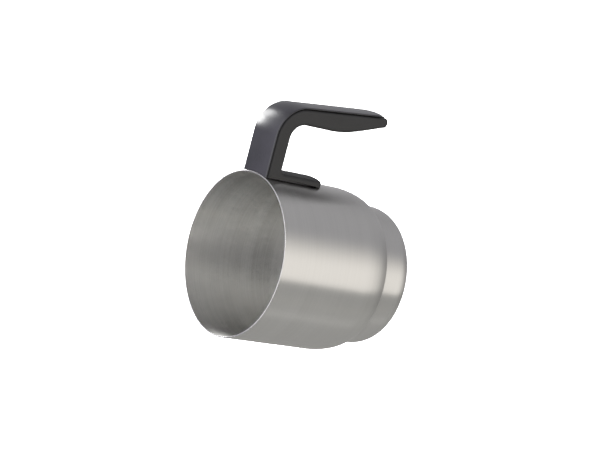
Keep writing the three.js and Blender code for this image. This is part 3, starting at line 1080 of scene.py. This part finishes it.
def makeFloor():
    half = floor["size"] / 2
    corners = ((-1, -1), (1, -1), (1, 1), (-1, 1))
    data = bpy.data.meshes.new("floor")
    data.from_pydata([(x * half, y * half, 0) for x, y in corners], [], [(0, 1, 2, 3)])
    material = bpy.data.materials.new("paleFloor")
    Shader(material).surface({"Base Color": floor["colour"], "Roughness": floor["roughness"]})
    data.materials.append(material)
    piece = linked("floor", data)
    piece.visible_glossy = False
    piece.visible_diffuse = False
    piece.visible_shadow = False


makeFloor()

# angles in degrees; each edge is where a soft change starts and ends
sky = {
    "above": rgb(0.50, 0.50, 0.53),
    "levelEdge": (-20.0, 30.0),
    "behindLow": rgb(0.06, 0.06, 0.06),  # behind the jug, low and high
    "behindHigh": rgb(1.00, 0.96, 1.12),
    "behindRise": (18.0, 56.0),
    "below": rgb(0.44, 0.435, 0.42),
    "cool": rgb(0.45, 0.445, 0.46),      # beyond the band, towards the handle
    "coolEdge": (10.0, 50.0),
    "nadir": rgb(0.16, 0.16, 0.16),
    "nadirEdge": (-86.0, -58.0),
    "roof": rgb(2.6, 2.6, 2.6),
    "roofEdge": (18.0, 52.0),
    "roofBehind": 34.0,                  # how much higher the roof's edge is behind the jug
    "behindEdge": (100.0, 150.0),
    "roofAhead": 26.0,                   # and in front of it
    "aheadEdge": (30.0, 75.0),
    "band": rgb(1.38, 1.33, 1.26),
    "bandSharp": (-25.0, -20.0),         # round the axis from the camera, away from the handle
    "bandSoft": (4.0, 50.0),             # and towards it
    "bandLow": (-74.0, -44.0),
    "bandHigh": (5.0, 20.0),
    "strips": [
        # turn, half width, lowest and highest rise, colour
        (-72.0, 2.2, -80.0, 5.0, rgb(0.95, 0.94, 0.90)),
        (-46.0, 2.4, 2.0, 44.0, rgb(3.0, 2.9, 2.4)),
    ],
    "stripCore": 0.4,                    # share of the half width that is at full strength
    "stripFoot": 8.0,                    # soft ends of a strip
    "stripHead": 20.0,
}


def makeSky():
    world = bpy.data.worlds.new("studio")
    bpy.context.scene.world = world
    shader = Shader(world)
    direction = shader.node("ShaderNodeTexCoord", output="Generated")
    x, y, z = shader.split(direction)
    azimuth = math.radians(view["azimuth"])
    forwards = x * math.sin(azimuth) - y * math.cos(azimuth)
    sidewards = x * math.cos(azimuth) + y * math.sin(azimuth)
    turn = x.maths("ARCTAN2", sidewards, forwards) * math.degrees(1)
    rise = z.maths("ARCSINE", z) * math.degrees(1)
    level = shader.spread(rise, *sky["levelEdge"], 0.0, 1.0, True)
    cool = shader.spread(turn, *sky["coolEdge"], 0.0, 1.0, True)
    below = shader.between(cool, sky["below"], sky["cool"])
    away = turn.maths("ABSOLUTE", turn)
    behind = shader.spread(away, *sky["behindEdge"], 0.0, 1.0, True)
    ahead = shader.spread(away, *sky["aheadEdge"], 1.0, 0.0, True)
    climb = shader.spread(rise, *sky["behindRise"], 0.0, 1.0)
    back = shader.between(climb, sky["behindLow"], sky["behindHigh"])
    above = shader.between(behind, sky["above"], back)
    light = shader.between(level, below, above)
    nadir = shader.spread(rise, *sky["nadirEdge"], 1.0, 0.0, True)
    light = shader.between(nadir, light, sky["nadir"])
    lifted = rise - behind * sky["roofBehind"] - ahead * sky["roofAhead"]
    roof = shader.spread(lifted, *sky["roofEdge"], 0.0, 1.0, True)
    light = shader.between(roof, light, sky["roof"])
    sharp = shader.spread(turn, *sky["bandSharp"], 0.0, 1.0, True)
    soft = shader.spread(turn, *sky["bandSoft"], 1.0, 0.0, True)
    low = shader.spread(rise, *sky["bandLow"], 0.0, 1.0, True)
    high = shader.spread(rise, *sky["bandHigh"], 1.0, 0.0, True)
    light = shader.between(sharp * soft * low * high, light, sky["band"])
    for middle, half, lowest, highest, colour in sky["strips"]:
        apart = turn.maths("ABSOLUTE", turn - middle)
        width = shader.spread(apart, half * sky["stripCore"], half, 1.0, 0.0, True)
        foot = shader.spread(rise, lowest, lowest + sky["stripFoot"], 0.0, 1.0, True)
        head = shader.spread(rise, highest - sky["stripHead"], highest, 1.0, 0.0, True)
        light = shader.between(width * foot * head, light, colour)
    background = shader.node("ShaderNodeBackground", sockets={"Color": light, "Strength": 1.0})
    shader.node("ShaderNodeOutputWorld", sockets={"Surface": background})


makeSky()
bpy.context.scene.view_settings.view_transform = "Standard"

lamps = [
    # name, azimuth, elevation, distance, size, watts; the glints are the bend's highlight
    ("glintFar", 162.0, 20.0, 0.9, 0.24, 2.0),
    ("glintNear", 150.0, 14.0, 0.9, 0.26, 1.5),
    ("floorWash", 0.0, 89.0, 2.5, 3.0, 260.0),
]


def makeLamps():
    centre = Vector((0, 0, rimZ / 2))
    for name, azimuth, elevation, distance, size, watts in lamps:
        data = bpy.data.lights.new(name, "AREA")
        data.shape = "DISK"
        data.size = size
        data.energy = watts
        lamp = linked(name, data)
        towards = directionFrom(azimuth, elevation)
        lamp.location = centre + towards * distance
        lamp.rotation_mode = "QUATERNION"
        lamp.rotation_quaternion = towards.to_track_quat("Z", "Y")
    # the wash lights the floor alone, and the object throws no shadow in it
    wash = bpy.data.objects["floorWash"]
    lit = bpy.data.collections.new("litByWash")
    lit.objects.link(bpy.data.objects["floor"])
    wash.light_linking.receiver_collection = lit
    wash.light_linking.blocker_collection = lit


makeLamps()
print("camera, floor and light placed")
